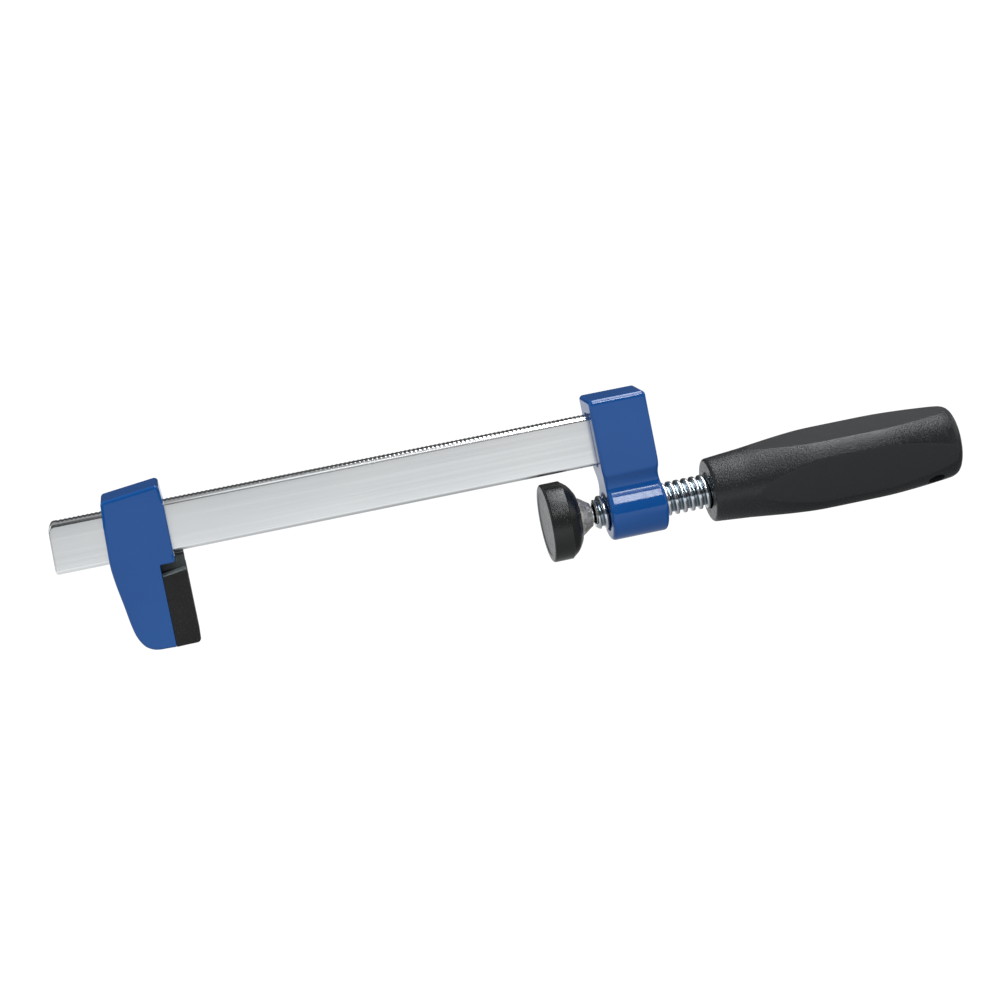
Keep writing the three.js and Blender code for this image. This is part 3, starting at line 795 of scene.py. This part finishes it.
def build_pad():
    xb = -8.97
    z0 = pad_lo[2]
    w = JAW_HALF_Y - 0.2
    # the shoulder rises towards the pad's face
    pts = [(xb, z0, 0.3), (0, z0, 1.6), (0, 12.6, 0.75), (xb, 11.3, 0.3)]
    out = anticlockwise(densify(fillet(pts, closed=True, step=9), 2.4))
    rho = np.where(out[:, 0] < xb + 0.6, 0.12, 0.55)
    for _ in range(1):
        rho = (np.roll(rho, 1) + rho * 2 + np.roll(rho, -1)) / 4
    ob = soft_extrude("rubber_jaw_pad", out, -w, w, rho, rho, along_y, 6)
    t = 3.1
    tz = pad_hi[2]
    tongue = [(xb + 0.02, 6, 0), (-0.02, 6, 0), (-0.02, tz, 0.5), (-3.33, tz, 0.3), (-3.33, 15.45, 0.3), (xb + 0.02, 15.45, 0.2)]
    tt = anticlockwise(densify(fillet(tongue, closed=True, step=12), 2.4))
    cut(ob, soft_extrude("tongue_tool", tt, -t, t, 0.19, 0.19, along_y, 3), operation="UNION")
    socket = anticlockwise(np.array([(xb - 3, -11.6), (-6.7, -11.6), (-6.7, 9.2), (xb - 3, 9.2)], float))
    cut(ob, soft_extrude("socket_tool", socket, -2.5, 2.5, 0.001, 0.001, along_y, 1))
    weighted(ob)
    return finish_piece(ob, RUBBER, "sliding_jaw", ["jaw_pad"])


# ------------------------------------------------------------ screw

THREAD_R = 6.35
THREAD_ROOT = 5.1
THREAD_PITCH = 3.0
T0, T1 = 10.0, 56.9


def build_spindle():
    n = 80
    th = np.arange(n) * TAU / n
    ball, neck, flat = 5.2, 2.9, -3.7
    prof = [(-2.1 + 2.5, 2.42), (flat + 0.3, 2.42), (flat, 2.7)]
    a0, a1 = math.acos(flat / ball), math.asin(neck / ball)
    prof += [(flat, math.sin(a0) * ball - 0.25)]
    prof += [(ball * math.cos(a), ball * math.sin(a)) for a in np.linspace(a0 - 0.06, a1, 22)]
    prof += [(5.2, neck - 0.12), (7.4, neck - 0.12), (8.7, neck - 0.08), (9.45, neck - 0.04), (T0 - 0.12, 4.25), (T0, 4.55)]
    rings = [np.c_[np.full(n, a), r * np.cos(th), r * np.sin(th)] for a, r in prof]
    root = [np.zeros(n) for _ in prof]
    ang = np.arctan2(np.sin(th), np.cos(th)) / TAU
    step = THREAD_PITCH / 20
    count = int((T1 - T0) / step)
    for i in range(count + 1):
        x = T0 + 0.05 + (T1 - T0 - 0.1) * i / count
        ph = x / THREAD_PITCH - ang
        ph -= np.floor(ph)
        d = np.minimum(ph, 1 - ph) * THREAD_PITCH        # from the crest's centre
        s = np.clip((d - 0.50) / 0.66, 0, 1)
        s = s * s * (3 - 2 * s)
        lead = min(1.0, (x - T0) / (0.75 * THREAD_PITCH) * 0.9 + 0.1)
        out = 1.0
        if x > T1 - 1.2:
            out = max(0.0, (T1 - x) / 1.2)
        depth = (THREAD_R - THREAD_ROOT) * (1 - (1 - s) * lead * out)
        # crests are very slightly crowned, as a rolled thread is
        r = THREAD_R - depth - 0.05 * np.clip(d / 0.5, 0, 1) ** 2 * (1 - s)
        r = np.minimum(r, 4.75 + 1.1 * max(0.0, (x - T0)) ** 0.8) if x < T0 + 2 else r
        rings.append(np.c_[np.full(n, x), r * np.cos(th), r * np.sin(th)])
        root.append(s.copy())
    tail = [(T1 + 0.05, 4.95), (T1 + 0.4, 4.7), (103.2, 4.7), (104.0, 3.9)]
    for a, r in tail:
        rings.append(np.c_[np.full(n, a), r * np.cos(th), r * np.sin(th)])
        root.append(np.zeros(n))
    off = np.array([BALL_X, 0, 0])
    rings = [r + off for r in rings]
    v, f = rings_to_mesh(rings, np.array([-2.1 + 2.5, 0, 0]) + off, np.array([104.0, 0, 0]) + off)
    me = bpy.data.meshes.new("steel_spindle")
    me.from_pydata([tuple(map(float, p)) for p in v * MM], [], f)
    bm = bmesh.new()
    bm.from_mesh(me)
    bmesh.ops.recalc_face_normals(bm, faces=bm.faces)
    bm.to_mesh(me)
    bm.free()
    at = me.attributes.new("root", "FLOAT", "POINT")
    vals = np.concatenate([np.concatenate(root), [0.0, 0.0]])
    at.data.foreach_set("value", vals)
    ob = bpy.data.objects.new("steel_spindle", me)
    bpy.context.scene.collection.objects.link(ob)
    smooth(ob, 50)
    return finish_piece(ob, THREAD, "screw", ["spindle"])


def build_swivel():
    o = (BALL_X, 0, 0)
    # ball and washer, hidden inside
    arc = [(2.2 * -math.cos(a), 2.2 * math.sin(a)) for a in np.linspace(0, math.pi, 33)]
    ball = turned("steel_thrust_ball", [(a - 2.1, r) for a, r in arc], 64, "x", o)
    finish_piece(ball, PIN_STEEL, "screw_thrust", ["thrust_ball"])
    wp = [(-5.4, 0)] + [tuple(p) for p in fillet([(-5.4, 0), (-5.4, 4.8, 0.2), (-4.6, 4.8, 0.2), (-4.6, 0)], step=18)[1:-1]] + [(-4.6, 0)]
    washer = turned("steel_thrust_washer", wp, 72, "x", o)
    finish_piece(washer, PIN_STEEL, "pad_gimbal", ["thrust_washer"])
    # pressed cup
    outer = fillet([(-5.7, 5.6, 0.2), (-5.7, 10.8, 0.3), (-4.3, 10.8, 0.3), (-4.3, 7.6, 0.5), (3.2, 7.55, 0)], step=8)
    dome = curve([(3.2, 7.55), (4.0, 7.42), (4.9, 7.05), (6.1, 6.3), (7.3, 5.4), (8.3, 4.72), (8.7, 4.5)], 0.35)
    lip = fillet([(8.7, 4.5, 0), (8.85, 4.42, 0.1), (8.85, 4.1, 0.15), (3.95, 4.1, 0.3), (3.6, 4.1, 0)], step=15)
    outer = np.vstack([outer, dome[1:], lip[1:-1]])
    a1 = math.asin(4.1 / 5.6)
    bore = [(5.6 * math.cos(a), 5.6 * math.sin(a)) for a in np.linspace(a1 + 0.05, math.pi / 2, 14)]
    prof = np.vstack([outer, bore])
    cup = turned("steel_swivel_cup", prof, 96, "x", o)
    finish_piece(cup, STEEL, "pad_cup", ["swivel_cup"])
    # moulded cap
    f, b, r = -8.2, 3.9, cap_hi[2]
    front = fillet([(f + 0.3, 0), (f + 0.3, 11.4, 4.0), (f, 12.2, 1.0), (f, r, 0.9), (-0.85, r, 0.18), (-0.7, r - 0.32, 0.15), (-0.2, r - 0.62)], step=9)
    back = curve([(-0.2, r - 0.62), (0.6, 13.4), (1.5, 12.66), (2.4, 11.6), (3.1, 10.5), (3.6, 9.7), (3.85, 9.15)], 0.4)
    inside = fillet([(3.85, 9.15), (b, 8.9, 0.1), (b, 8.1, 0.35), (-4.0, 8.1, 0.2), (-4.0, 11.2, 0.2), (-6.0, 11.2, 0.2), (-6.0, 0)], step=9)
    cp = np.vstack([front, back[1:], inside[1:]])
    cap = turned("moulded_swivel_cap", cp, 128, "x", o)
    finish_piece(cap, CAP, "pad_cap", ["swivel_cap"])


# ------------------------------------------------------------ handle

def build_handle():
    hx = han_lo[0]
    w = 13.42
    turn = math.radians(10)
    prof = np.array([(0.0, 10.9), (0.1, 11.25), (0.3, 11.6), (0.6, 11.82), (1.0, 11.95), (8.4, 12.61), (14, 13.08), (19.5, 13.72), (25, 14.33), (30.5, 14.95),
                     (36, 15.5), (39.0, 15.74), (42.0, 15.85), (46, 15.88), (57, 15.9), (64, 15.9), (68.0, 15.82), (71.5, 15.65), (74.3, 15.45), (79.8, 15.02), (85.6, 14.48),
                     (91, 13.98), (93.2, 13.66), (94.2, 13.32), (94.95, 12.9), (95.5, 12.35), (95.9, 11.6), (96.1, 10.7), (96.3, 8.0), (96.5, 4.0)])
    # resample finely, easing the changes of slope a little
    xs = np.concatenate([prof[prof[:, 0] < 1.0, 0], np.arange(1.0, 93.2, 0.8), prof[prof[:, 0] >= 93.2, 0]])
    rs = np.interp(xs, prof[:, 0], prof[:, 1])
    for _ in range(3):
        sm = rs.copy()
        inner = (xs > 2) & (xs < 92)
        avg = (np.roll(rs, 1) + 2 * rs + np.roll(rs, -1)) / 4
        sm[inner] = avg[inner]
        rs = sm
    nf, nc = 14, 16
    rings, grain = [], []
    for x, r in zip(xs, rs):
        # half angle of a flat at this radius
        tc = math.acos(min(1.0, w / r)) if r > w else 0.0
        tc = max(tc, 0.012)
        ring, g = [], []
        for q in range(4):
            c = q * math.pi / 2
            # flat, with rows packed towards its edges
            s = np.sin(np.linspace(-math.pi / 2, math.pi / 2, nf + 1)[:-1])
            angs = list(c + s * tc)
            # rounded corner
            s2 = np.linspace(0, 1, nc + 1)[:-1]
            s2 = 0.5 - 0.5 * np.cos(s2 * math.pi)
            angs += list(c + tc + s2 * (math.pi / 2 - 2 * tc))
            for i, a in enumerate(angs):
                da = a - c
                if abs(da) > math.pi / 4:
                    da = math.pi / 2 - da
                flat = w / max(0.2, math.cos(da))
                k = 0.045
                d = (flat - r) / k
                rr = -k * math.log(math.exp(-max(-40, min(40, 0.0))) + math.exp(-max(-40.0, min(40.0, d)))) + r if d < 30 else r
                if d < -30:
                    rr = flat
                ring.append((a, rr))
                g.append(0.0 if (i <= nf and r > w + 0.02) else 1.0)
        ring = np.array(ring)
        a = ring[:, 0] + turn
        # flat normals lie along -y and z, turned about the x axis
        rings.append(np.c_[np.full(len(a), hx + x), np.cos(a) * ring[:, 1], np.sin(a) * ring[:, 1]])
        grain.append(np.array(g))
    v, f = rings_to_mesh(rings, np.array([hx, 0, 0]), np.array([hx + 96.6, 0, 0]))
    me = bpy.data.meshes.new("moulded_handle")
    me.from_pydata([tuple(map(float, p)) for p in v * MM], [], f)
    bm = bmesh.new()
    bm.from_mesh(me)
    bmesh.ops.recalc_face_normals(bm, faces=bm.faces)
    bm.to_mesh(me)
    bm.free()
    at = me.attributes.new("grained", "FLOAT", "POINT")
    at.data.foreach_set("value", np.concatenate([np.concatenate(grain), [1.0, 1.0]]))
    ob = bpy.data.objects.new("moulded_handle", me)
    bpy.context.scene.collection.objects.link(ob)
    # counterbore for the thread, socket for the tang
    deep = BALL_X + T1 - hx + 0.45
    tools = [turned("socket_tool", [(-3, 0), (-3, THREAD_R + 0.9), (0, THREAD_R + 0.6), (0.4, THREAD_R + 0.34), (deep, THREAD_R + 0.34), (deep, 5.0), (BALL_X + 104.4 - hx, 5.0), (BALL_X + 104.4 - hx, 0)], 72, "x", (hx, 0, 0))]
    # hanging hole, from the lower front corner to the upper back one
    hole = turned("hang_tool", [(-30, 0), (-30, 4.6), (-14.7, 3.75), (-14.1, 3.15), (-13.4, 3.0), (13.4, 3.0), (14.1, 3.15), (14.7, 3.75), (30, 4.6), (30, 0)], 64, "y")
    rot = Matrix.Rotation(math.radians(55), 4, "X")
    hole.data.transform(Matrix.Translation(((hx + 85.6) * MM, 0, 0)) @ rot)
    tools.append(hole)
    cut(ob, *tools, angle=24)
    weighted(ob)
    return finish_piece(ob, HANDLE, "screw", ["handle"])


build_bar()
build_fixed_jaw()
build_sliding_jaw()
build_pad()
build_spindle()
build_swivel()
build_handle()
build_pin("spring_pin_lower", "fixed_jaw_pin_lower", "bar_and_fixed_jaw")
build_pin("spring_pin_upper", "fixed_jaw_pin_upper", "bar_and_fixed_jaw")
build_pin("grip_pin_top", "grip_pin_upper", "jaw_grip", slit=False)
build_pin("grip_pin_bottom", "grip_pin_lower", "sliding_jaw", slit=False)


# ------------------------------------------------------------ stage, light and camera

FLOOR_DROP = 0.10
FLOOR_GLOSS, FLOOR_DIFFUSE = 0.90, 0.70
OVERHEAD, FRONT, SIDE, ROOM = 8.0, 16.0, 0.95, 0.05
SKY_LOW, SKY_HIGH, SKY_FRONT = 0.55, 1.35, 0.55


def stage():
    me = bpy.data.meshes.new("floor")
    s = 12.0
    z = cad_lo.z - FLOOR_DROP
    me.from_pydata([(-s, -s, z), (s, -s, z), (s, s, z), (-s, s, z)], [], [(0, 1, 2, 3)])
    floor = bpy.data.objects.new("floor", me)
    bpy.context.scene.collection.objects.link(floor)
    m = bpy.data.materials.new("pale_floor")
    m.use_nodes = True
    nt = m.node_tree
    nt.nodes.clear()
    out = nt.nodes.new("ShaderNodeOutputMaterial")
    path = nt.nodes.new("ShaderNodeLightPath")
    k = Nodes(nt)
    geo = nt.nodes.new("ShaderNodeNewGeometry")
    sep = nt.nodes.new("ShaderNodeSeparateXYZ")
    nt.links.new(geo.outputs["Position"], sep.inputs[0])
    x = k.math("SUBTRACT", sep.outputs["X"], 0.12)
    y = k.math("ADD", k.math("MULTIPLY", k.math("MAXIMUM", sep.outputs["Y"], 0.0), 0.7), k.math("MINIMUM", sep.outputs["Y"], 0.0))
    r = k.math("SQRT", k.math("ADD", k.math("MULTIPLY", x, x), k.math("MULTIPLY", y, y)))
    # bright in the middle distance, with painted shade right under the object, and dimmer far away
    near = k.math("MULTIPLY", k.remap(r, 0.0, 0.27, 0.42, 1.0, True), k.remap(r, 1.0, 1.25, FLOOR_GLOSS, 0.04, True))
    near = k.math("MULTIPLY", near, k.remap(sep.outputs["X"], -0.5, 0.9, 0.86, 1.18))
    # shade under the handle
    under = k.math("MULTIPLY", k.remap(sep.outputs["X"], 0.18, 0.25, 0.0, 0.85, True), k.remap(k.math("ABSOLUTE", sep.outputs["Y"]), 0.12, 0.34, 1.0, 0.0, True))
    near = k.math("MULTIPLY", near, k.math("SUBTRACT", 1.0, under))
    seen = nt.nodes.new("ShaderNodeEmission")
    seen.inputs["Color"].default_value = (1, 1, 1, 1)
    seen.inputs["Strength"].default_value = 1.05
    lit = nt.nodes.new("ShaderNodeEmission")
    lit.inputs["Color"].default_value = (0.97, 0.985, 1, 1)
    nt.links.new(k.math("ADD", k.math("MULTIPLY", path.outputs["Is Glossy Ray"], near),
                        k.math("MULTIPLY", k.math("SUBTRACT", 1.0, path.outputs["Is Glossy Ray"]), FLOOR_DIFFUSE)), lit.inputs["Strength"])
    mix = nt.nodes.new("ShaderNodeMixShader")
    nt.links.new(path.outputs["Is Camera Ray"], mix.inputs["Fac"])
    nt.links.new(lit.outputs[0], mix.inputs[1])
    nt.links.new(seen.outputs[0], mix.inputs[2])
    nt.links.new(mix.outputs[0], out.inputs["Surface"])
    me.materials.append(m)

    world = bpy.data.worlds.new("studio")
    bpy.context.scene.world = world
    world.use_nodes = True
    wt = world.node_tree
    wt.nodes.clear()
    wout = wt.nodes.new("ShaderNodeOutputWorld")
    k = Nodes(wt)
    sep = wt.nodes.new("ShaderNodeSeparateXYZ")
    wt.links.new(k.coord.outputs["Generated"], sep.inputs[0])
    X, Y, Z = sep.outputs["X"], sep.outputs["Y"], sep.outputs["Z"]

    def band(value, a, b, c, d):
        """1 between b and c, easing to 0 at a and d."""
        return k.math("MULTIPLY", k.remap(value, a, b, 0.0, 1.0, True), k.remap(value, c, d, 1.0, 0.0, True))

    # a dark room with an overhead light, a long front strip and a narrow light at each side
    sin = lambda deg: math.sin(math.radians(deg))
    cot = k.math("DIVIDE", k.math("MULTIPLY", Y, -1.0), k.math("MAXIMUM", Z, 0.02))
    boss = band(X, 0.165, 0.175, 0.222, 0.24)
    spread = k.math("ADD", k.math("MULTIPLY", band(cot, -1.0, -0.65, 0.08, 0.54), boss),
                    k.math("MULTIPLY", band(cot, -0.50, -0.05, 0.42, 0.74), k.math("SUBTRACT", 1.0, boss)))
    over = k.math("MULTIPLY", k.math("MULTIPLY", spread, k.remap(X, 0.138, 0.158, 0.04, 1.0, True)), OVERHEAD)
    over = k.math("MULTIPLY", over, k.remap(X, 0.20, 0.25, 1.0, 1.7, True))
    over = k.math("MULTIPLY", over, k.remap(X, 0.29, 0.42, 1.0, 0.03, True))
    front = k.math("MULTIPLY", k.math("MULTIPLY", band(cot, 0.60, 0.68, 1.45, 1.70), band(X, 0.162, 0.178, 0.204, 0.218)), FRONT)
    # further left the strip goes over into a dimmer panel, brightest at its lower edge
    panel = k.math("MULTIPLY", k.remap(cot, 0.1, 1.3, 0.22, 1.05, True), k.remap(cot, 1.7, 2.7, 1.0, 0.35, True))
    panel = k.math("MULTIPLY", k.math("MULTIPLY", panel, band(X, -0.05, 0.02, 0.160, 0.178)), k.remap(cot, 0.0, 0.1, 0.0, 1.0))
    front = k.math("MAXIMUM", front, panel)
    left = k.math("MULTIPLY", k.math("MULTIPLY", band(Z, sin(2), sin(12), sin(50), sin(60)), k.remap(X, -0.85, -0.60, 1.0, 0.0, True)), SIDE)
    right = k.math("MULTIPLY", k.math("MULTIPLY", band(Z, sin(2), sin(12), sin(50), sin(60)), k.remap(X, 0.60, 0.85, 0.0, 1.0, True)), SIDE)
    low = k.remap(Z, sin(-14), sin(-7), FLOOR_GLOSS, ROOM, True)
    # the wall behind glows faintly, more to the right, and runs up into the overhead light
    back = k.math("MULTIPLY", k.remap(cot, -0.05, 0.12, 1.0, 0.0, True),
                  k.math("ADD", k.remap(Z, sin(2), sin(30), 0.16, 0.34, True), k.remap(Z, sin(32), sin(60), 0.0, 0.55, True)))
    back = k.math("MULTIPLY", back, k.remap(X, 0.19, 0.25, 0.33, 0.98, True))
    glossy = k.math("MAXIMUM", k.math("MAXIMUM", k.math("MAXIMUM", over, front), k.math("MAXIMUM", left, right)), k.math("MAXIMUM", low, back))
    # what lights the matt part of the surfaces: a soft sky, brighter above and in front
    soft = k.math("ADD", k.remap(Z, -0.2, 0.9, SKY_LOW, SKY_HIGH, True), k.remap(Y, -0.9, 0.2, SKY_FRONT, 0.0, True))
    path = wt.nodes.new("ShaderNodeLightPath")
    level = k.math("ADD", k.math("MULTIPLY", path.outputs["Is Glossy Ray"], glossy),
                   k.math("MULTIPLY", k.math("SUBTRACT", 1.0, path.outputs["Is Glossy Ray"]), soft))
    env = wt.nodes.new("ShaderNodeBackground")
    env.inputs["Color"].default_value = (0.97, 0.985, 1, 1)
    wt.links.new(level, env.inputs["Strength"])
    seen = wt.nodes.new("ShaderNodeBackground")
    seen.inputs["Color"].default_value = (1, 1, 1, 1)
    seen.inputs["Strength"].default_value = 1.05
    mix = wt.nodes.new("ShaderNodeMixShader")
    wt.links.new(path.outputs["Is Camera Ray"], mix.inputs["Fac"])
    wt.links.new(env.outputs[0], mix.inputs[1])
    wt.links.new(seen.outputs[0], mix.inputs[2])
    wt.links.new(mix.outputs[0], wout.inputs["Surface"])

    sc = bpy.context.scene
    sc.view_settings.view_transform = "Standard"
    sc.view_settings.look = "None"
    sc.view_settings.exposure = 0.0
    sc.view_settings.gamma = 1.0

    cam = bpy.data.cameras.new("camera")
    cam.sensor_fit = "HORIZONTAL"
    cam.sensor_width = 36.0
    cam.lens = 36.0 * 2172.335 / 1000.0
    cam.clip_start, cam.clip_end = 0.02, 60.0
    ob = bpy.data.objects.new("camera", cam)
    sc.collection.objects.link(ob)
    right = Vector((0.971103, -0.167266, -0.170239))
    down = Vector((-0.198738, -0.171794, -0.964878))
    fwd = Vector((0.132146, 0.970829, -0.200071))
    m = Matrix.Identity(4)
    for i in range(3):
        m[i][0], m[i][1], m[i][2] = right[i], -down[i], -fwd[i]
    m[0][3], m[1][3], m[2][3] = 0.01093088, -0.77284869, 0.17153001
    ob.matrix_world = m
    sc.camera = ob


stage()
